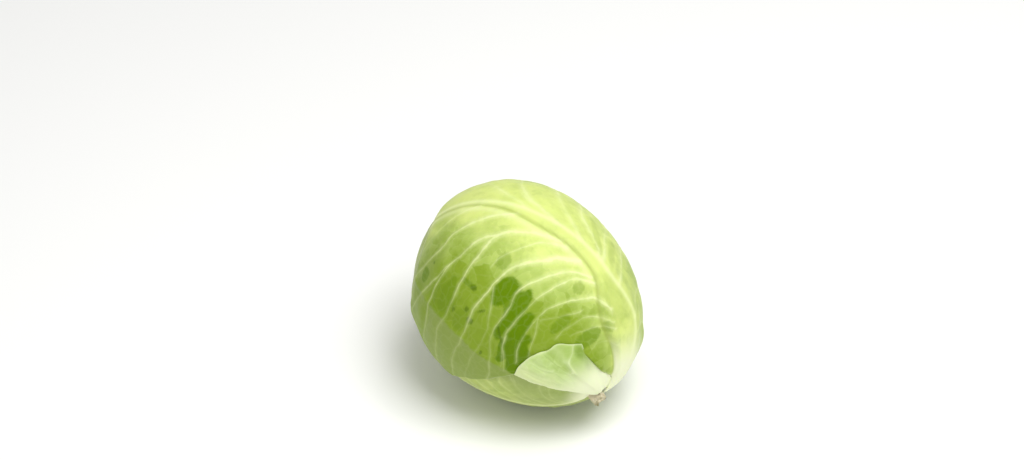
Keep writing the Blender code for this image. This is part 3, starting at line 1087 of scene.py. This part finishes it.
@dataclass
class Studio:
    """A pale floor, soft light from the right, and the camera."""

    floor_size: float = 12.0
    floor_colour: str = "#f8f8f6"
    elevation: float = 38.0
    lens: float = 85.0
    distance: float = 1.862
    off_axis: tuple = (-12.3, 48.5)
    room_light: float = 0.5

    def build(self, form: HeadForm) -> None:
        """Set up the floor, lights and camera.

        Args:
            form: the head, whose middle the camera is aimed beside.
        """
        self.floor()
        self.lights()
        self.camera(form)
        bpy.context.scene.view_settings.view_transform = "Standard"

    def floor(self) -> None:
        """Lay a plain pale floor."""
        deselect_all()
        bpy.ops.mesh.primitive_plane_add(size=self.floor_size)
        floor = bpy.context.object
        floor.name = "floor"
        sheet = NodeSheet("matt white floor")
        shader = sheet.add("BsdfPrincipled", {}, {"Base Color": self.floor_colour, "Roughness": 0.9})
        sheet.add("OutputMaterial", {}, {"Surface": shader})
        floor.data.materials.append(sheet.material)

    def lights(self) -> None:
        """Hang two soft boxes and light the room evenly."""
        for name, place, size, power in (("key", (0.48, -0.44, 1.85), 1.1, 31.0),
                                         ("fill", (-1.3, -1.3, 0.9), 1.6, 2.0)):
            data = bpy.data.lights.new(name, "AREA")
            data.size, data.energy = size, power
            lamp = bpy.data.objects.new(name, data)
            bpy.context.scene.collection.objects.link(lamp)
            lamp.location = place
            away = Vector(place) - Vector((0.0, 0.0, 0.08))
            lamp.rotation_euler = away.to_track_quat("Z", "Y").to_euler()
        world = bpy.data.worlds.new("white room")
        world.use_nodes = True
        world.node_tree.nodes["Background"].inputs["Color"].default_value = (1.0, 1.0, 1.0, 1.0)
        world.node_tree.nodes["Background"].inputs["Strength"].default_value = self.room_light
        bpy.context.scene.world = world

    def camera(self, form: HeadForm) -> None:
        """Place the camera, a long lens looking down on the head.

        Args:
            form: the head, whose middle the camera is aimed beside.
        """
        tilt = math.radians(self.elevation)
        up = np.array([0.0, math.sin(tilt), math.cos(tilt)])
        back = np.array([0.0, -math.cos(tilt), math.sin(tilt)])
        aimed = np.array([self.off_axis[0] * MM, 0.0, form.centre_height * MM]) + up * self.off_axis[1] * MM
        data = bpy.data.cameras.new("camera")
        data.lens = self.lens
        data.sensor_width = 36.0
        lens = bpy.data.objects.new("camera", data)
        bpy.context.scene.collection.objects.link(lens)
        lens.location = aimed + back * self.distance
        lens.rotation_euler = (math.radians(90.0) - tilt, 0.0, 0.0)
        bpy.context.scene.camera = lens


def first_leaf() -> LeafPlan:
    """Plan the outermost whole leaf, the one that shows best.

    Returns:
        Its plan.
    """
    outline = Outline(
        base=6.0, tip=158.0,
        right=((6.0, 88.0), (54.0, 118.0), (84.0, 118.0), (158.0, 106.0)),
        left=((6.0, 112.0), (54.0, 150.0), (84.0, 150.0), (158.0, 135.0)),
        hem=((-118.0, 24.0), (-80.0, 6.0), (-60.0, -3.0), (-20.0, -4.2), (-10.0, -0.5), (-3.0, 3.6),
             (4.0, 4.9), (18.0, 7.3), (24.0, 9.2), (29.0, 12.4), (32.5, 16.5), (35.0, 21.5), (38.0, 25.0),
             (44.0, 28.5), (71.0, 39.0), (86.0, 42.5), (99.0, 51.5),
             (116.0, 64.0), (132.0, 75.0), (151.0, 81.0)))
    rib = Rib(
        crest=((6.0, -22.0), (30.0, -21.0), (38.0, -19.0), (45.0, -14.0), (52.0, -10.0), (65.0, -7.0),
               (85.0, -3.5), (95.0, -1.7), (110.0, 0.0), (125.0, 2.0), (158.0, 6.0)),
        foot=((10.0, 1.0), (16.0, 3.5), (25.0, 7.5), (32.0, 10.5), (40.0, 10.5), (47.0, 7.0), (55.0, 1.5),
              (70.0, 0.5), (80.0, 1.8), (95.0, 4.0), (110.0, 3.5), (135.0, 5.0), (158.0, 8.0)),
        height=((6.0, 2.0), (14.0, 3.0), (55.0, 2.6), (90.0, 1.8), (120.0, 1.0), (145.0, 0.4), (158.0, 0.0)),
        right_flank=((10.0, 16.0), (55.0, 11.0), (90.0, 8.0), (158.0, 4.0)))
    left = (
        Vein(((4.0, 27.0), (12.0, 30.0), (21.0, 31.0), (30.0, 30.0)), (0.9, 0.5), 0.4),
        Vein(((3.0, 34.0), (18.0, 38.5), (34.0, 42.0)), (0.9, 0.5), 0.6),
        Vein(((4.0, 37.0), (11.0, 40.5), (20.0, 44.5), (31.0, 46.5), (44.0, 46.0)), (1.0, 0.6), 0.7),
        Vein(((2.0, 42.0), (7.0, 49.0), (14.5, 52.0), (25.0, 56.5), (38.0, 60.0), (56.0, 60.0),
              (67.0, 58.5), (77.0, 54.5)), (1.3, 0.6)),
        Vein(((3.0, 55.0), (12.0, 61.5), (20.0, 64.0), (32.0, 67.0), (45.0, 68.0), (67.0, 68.0),
              (80.0, 62.0), (88.0, 58.0)), (1.3, 0.6)),
        Vein(((3.0, 58.0), (9.0, 64.0), (17.0, 69.0), (27.0, 73.0), (37.0, 77.0), (50.0, 76.0),
              (71.0, 75.0), (84.0, 69.5), (100.0, 66.0), (120.0, 68.0)), (1.3, 0.6)),
        Vein(((3.0, 67.0), (13.0, 75.5), (25.5, 84.5), (31.0, 88.0), (42.0, 90.5), (62.0, 93.0),
              (80.0, 91.5), (108.0, 92.5), (135.0, 90.0)), (2.2, 0.7), 1.15),
        Vein(((3.0, 76.0), (10.0, 85.0), (20.0, 91.5), (27.0, 95.5), (36.0, 98.0)), (1.8, 0.5)),
        Vein(((3.0, 80.0), (7.5, 89.0), (12.0, 96.0), (20.0, 105.0), (28.0, 107.0), (53.0, 109.0),
              (80.0, 108.0), (92.0, 110.0), (115.0, 108.0), (140.0, 106.0)), (1.8, 0.7)),
        Vein(((18.0, 103.0), (26.0, 111.5), (42.0, 118.5), (60.0, 126.0), (78.0, 133.0), (100.0, 139.0),
              (120.0, 142.0)), (1.3, 0.6)),
        Vein(((50.0, 121.5), (62.0, 124.0), (89.0, 124.0), (107.0, 121.5), (130.0, 122.0)), (0.8, 0.6), 0.8),
        Vein(((4.0, 105.0), (14.0, 118.0), (23.0, 126.5), (42.0, 134.0), (56.0, 140.0), (71.0, 145.5),
              (90.0, 150.0)), (1.6, 0.8)),
        Vein(((5.0, 125.0), (14.0, 135.0), (30.0, 145.0), (50.0, 152.0)), (1.2, 0.6), 0.6))
    forks = (
        Vein(((44.0, 60.0), (52.0, 56.0), (60.0, 53.0), (67.0, 50.5)), (0.7, 0.5), 0.7),
        Vein(((20.0, 47.8), (29.0, 51.0), (37.0, 54.5), (42.0, 58.0)), (0.7, 0.5), 0.6),
        Vein(((44.0, 90.5), (57.0, 84.5), (69.0, 79.5), (81.0, 78.5), (100.0, 80.5), (125.0, 81.0)),
             (0.7, 0.5), 0.45),
        Vein(((66.0, 68.0), (75.5, 65.0), (86.0, 60.5)), (0.6, 0.5), 0.7))
    right = (
        Vein(((-20.0, 36.0), (-30.0, 44.0), (-42.0, 48.0), (-60.0, 50.0), (-90.0, 48.0)), (1.2, 0.6), 0.4),
        Vein(((-25.0, 30.0), (-40.0, 34.0), (-60.0, 36.0), (-90.0, 36.0)), (1.2, 0.6), 0.4),
        Vein(((-12.0, 50.0), (-21.0, 53.5), (-30.0, 61.0), (-39.0, 66.0), (-60.0, 68.0), (-85.0, 66.0),
              (-115.0, 62.0)), (1.6, 0.8), 0.7),
        Vein(((-8.0, 61.0), (-17.0, 65.0), (-22.5, 69.0), (-30.0, 73.5), (-40.0, 78.0), (-60.0, 82.0),
              (-90.0, 82.0), (-118.0, 80.0)), (1.9, 0.8), 0.7),
        Vein(((-9.0, 64.5), (-12.5, 67.5), (-15.0, 72.5), (-19.0, 80.0), (-30.0, 88.5), (-40.0, 92.5),
              (-60.0, 97.0), (-90.0, 98.0), (-118.0, 97.0)), (2.1, 0.8), 0.7),
        Vein(((-6.0, 75.0), (-10.0, 82.0), (-13.5, 87.5), (-22.0, 96.0), (-32.0, 102.0), (-50.0, 108.0),
              (-80.0, 112.0), (-118.0, 112.0)), (2.3, 0.8), 0.7),
        Vein(((-3.0, 88.0), (-8.5, 103.0), (-17.0, 112.0), (-29.0, 117.0), (-45.0, 121.0), (-70.0, 126.0),
              (-100.0, 128.0)), (2.3, 0.8), 0.7),
        Vein(((-3.0, 105.0), (-9.0, 118.0), (-18.0, 127.0), (-30.0, 133.0), (-50.0, 140.0), (-75.0, 144.0)),
             (1.8, 0.8), 0.6))
    look = Complexion(
        left=((0.0, 0.1), (12.0, 0.12), (30.0, 0.5), (48.0, 0.8), (150.0, 0.78)),
        right=((0.0, 0.08), (14.0, 0.08), (22.0, 0.14), (30.0, 0.17), (55.0, 0.36), (118.0, 0.6)),
        nearer_below=15.0, bloom=0.06, fold=((50.0, 88.0), (75.0, 88.0), (97.0, 85.0), (118.0, 83.0)),
        rubbed=(Patch((43.0, 84.0), (11.0, 6.2)), Patch((51.0, 72.5), (19.5, 5.0)),
                Patch((64.0, 64.0), (21.0, 5.0)), Patch((74.0, 55.5), (20.0, 5.5), 1.0, -0.1),
                Patch((13.0, 57.5), (4.2, 3.2), 0.42), Patch((8.0, 36.0), (5.0, 2.5), 0.4),
                Patch((26.0, 36.0), (13.0, 3.5), 0.6), Patch((22.0, 21.0), (15.0, 8.0), 0.12),
                Patch((68.0, 138.0), (8.0, 4.0), 0.7), Patch((52.0, 104.0), (2.2, 6.0), 0.6),
                Patch((68.0, 114.0), (14.0, 5.0), 0.5), Patch((31.0, 94.0), (6.0, 4.5), 0.4),
                # Painted shade: this wide, soft patch darkens the left of the head, turned from the light,
                # with the rubbed colour.
                Patch((74.0, 116.0), (24.0, 14.0), 0.35, soft=0.9),
                Patch((75.0, 98.0), (9.0, 5.0), 0.3), Patch((36.0, 50.0), (9.0, 3.0), 0.5),
                Patch((61.0, 66.0), (31.0, 8.0), 0.75, -0.62, 0.3),
                Patch((-5.0, 45.0), (15.0, 14.0), 0.24, soft=0.8),
                Patch((-26.0, 48.0), (18.0, 22.0), 0.2, soft=0.9),
                Patch((-21.0, 62.5), (11.0, 3.8), 0.3, -0.6, 0.8),
                Patch((-20.0, 74.0), (10.0, 3.5), 0.2, -0.9, 0.6),
                Patch((-14.0, 68.0), (4.5, 3.5), 0.24, -0.6, 0.6),
                Patch((16.0, 141.0), (14.0, 14.0), 0.24, soft=0.9),
                Patch((82.0, 140.0), (13.0, 7.0), 0.25, soft=0.9)),
        specks=(Patch((71.0, 92.0), (2.2, 2.6), 0.75), Patch((52.5, 100.0), (1.5, 2.6), 0.75),
                Patch((61.0, 88.0), (2.6, 1.5), 0.75, 0.8), Patch((66.0, 72.0), (5.5, 1.3), 0.75, -0.9),
                Patch((86.0, 76.0), (2.0, 1.3), 0.75), Patch((66.0, 97.0), (1.6, 1.6), 0.65),
                Patch((54.0, 134.0), (1.8, 1.3), 0.6), Patch((72.0, 105.0), (1.8, 1.2), 0.5)))
    swells = (Patch((12.0, 12.0), (11.0, 4.0), 1.3), Patch((29.0, 18.0), (8.0, 5.0), 1.4),
              Patch((34.0, 28.0), (5.0, 6.0), 1.4), Patch((-26.0, 3.5), (36.0, 5.0), 0.9))
    return LeafPlan("wrapper_leaf_1", 41.0, 0.0, (147.0, 165.0), outline, left + right, forks, rib, look,
                    swells, rows=178, columns=268, seed=1)


def torn_base() -> LeafPlan:
    """Plan the base that is left of an outer leaf, torn off low down.

    Returns:
        Its plan.
    """
    outline = Outline(
        base=3.0, tip=47.5, tip_round=0.0,
        right=((3.0, 95.0), (8.0, 80.0), (12.5, 62.0), (19.0, 46.0), (26.0, 36.0), (32.5, 29.0),
               (42.0, 24.5)),
        left=((3.0, 24.0), (8.0, 21.0), (17.0, 20.0), (25.0, 24.0), (31.0, 26.0), (38.0, 28.0),
              (47.0, 29.0)),
        top=((-26.0, 12.5), (-16.0, 7.8), (-10.0, 4.6), (-4.0, 4.5), (4.0, 2.0), (12.0, 0.7), (21.0, 0.0),
             (29.0, 0.6)))
    rib = Rib(crest=((10.0, -6.0), (48.0, -6.0)), foot=((10.0, 2.0), (48.0, -2.0)),
              height=((10.0, 0.7), (30.0, 0.3), (48.0, 0.0)),
              right_flank=((10.0, 8.0), (48.0, 5.0)), shown=0.2)
    veins = (
        Vein(((1.0, 27.0), (2.5, 31.0), (3.0, 38.0)), (1.0, 0.6), 0.45),
        Vein(((-3.0, 27.0), (-6.0, 31.0), (-13.0, 34.0), (-18.0, 38.0)), (1.1, 0.7), 0.8),
        Vein(((9.0, 34.0), (11.0, 37.5), (14.0, 45.0)), (1.0, 0.6), 0.6),
        Vein(((18.0, 33.0), (21.0, 39.0), (23.0, 46.0)), (0.9, 0.5), 0.3))
    look = Complexion(left=((0.0, 0.6), (12.0, 0.4), (24.0, 0.1), (30.0, 0.0)),
                      right=((0.0, 0.7), (20.0, 0.9), (30.0, 1.0)), bloom=0.05, cream_to=(14.0, 33.0),
                      cream_left=1.0, rubbed=(Patch((-25.0, 30.0), (11.0, 14.0), 0.55, soft=0.9),))
    swells = (Patch((-30.0, 25.0), (11.0, 13.0), -1.7), Patch((-47.0, 13.0), (26.0, 11.0), -2.4),
              Patch((-80.0, 5.0), (22.0, 8.0), -1.7))
    return LeafPlan("torn_leaf_base", 104.0, -2.0, (180.0, 0.0), outline, veins, (), rib, look, swells,
                    Slot.PALE_LEAF, thickness=1.3, thin_edge=0.7, edge_tuck=0.1,
                    rows=90, columns=100, seed=9)


def inner_leaves() -> list:
    """Plan the wrapper leaves under the first.

    Returns:
        Their plans, outermost first.
    """
    golden, first, past_crown = 137.508, 41.0, 158.0
    starts = (8.0, 10.0, 12.5, 16.0, 21.0, 28.0, 38.0, 50.0, 63.0, 77.0, 92.0, 108.0, 126.0)
    climbs = (8.0, 20.0, 32.0, 42.0, 50.0, 54.0, 54.0, 50.0, 44.0, 36.0, 30.0, 24.0, 14.0)
    sizes = ((160.0, 118.0, 178, 210), (155.0, 95.0, 110, 120), (155.0, 95.0, 110, 120),
             (155.0, 92.0, 90, 100), (155.0, 92.0, 90, 100))
    plans = []
    for turn, (tip, spread, rows, columns) in enumerate(sizes, start=1):
        azimuth = first + turn * golden
        margin = ((4.0, 0.75 * spread), (52.0, spread), (80.0, spread), (tip, 0.45 * spread))
        outline = Outline(4.6, tip, margin, margin, row_climb=10.0, ragged=0.6)
        flat = Rib(height=((8.0, 1.0), (60.0, 0.5), (160.0, 0.1)))
        green = ((0.0, 0.25), (30.0, 0.42), (90.0, 0.5))
        look = Complexion(left=green, right=green, bloom=0.5, cream_to=(7.0, 20.0))
        plans.append(LeafPlan(f"wrapper_leaf_{turn + 1}", azimuth, 2.2 * turn, (past_crown, azimuth + 180.0),
                              outline, *fanned_veins(starts, climbs, 35.0, turn + 60), flat, look,
                              rows=rows, columns=columns, seed=turn + 1))
    return plans


def main() -> None:
    """Build and dress the head, then its studio."""
    logging.basicConfig(level=logging.INFO, format="%(name)s: %(message)s")
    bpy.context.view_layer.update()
    form = HeadForm()
    for plan in (first_leaf(), *inner_leaves()):
        Leaf(form, plan, LeafFinish()).build()
    torn_finish = LeafFinish(fair="#e0ecae", middle="#c6dc90", deep="#a9c468", vein="#eef6c8",
                             cream="#eff6cc")
    Leaf(form, torn_base(), torn_finish).build()
    Stalk(form).build()
    blanched = HeartFinish().material("blanched heart leaf")
    for name, node in frame["nodes"].items():
        if name.startswith("heart"):
            node.data.materials.clear()
            node.data.materials.append(blanched)
    Studio().build(form)


if __name__ == "__main__":
    main()
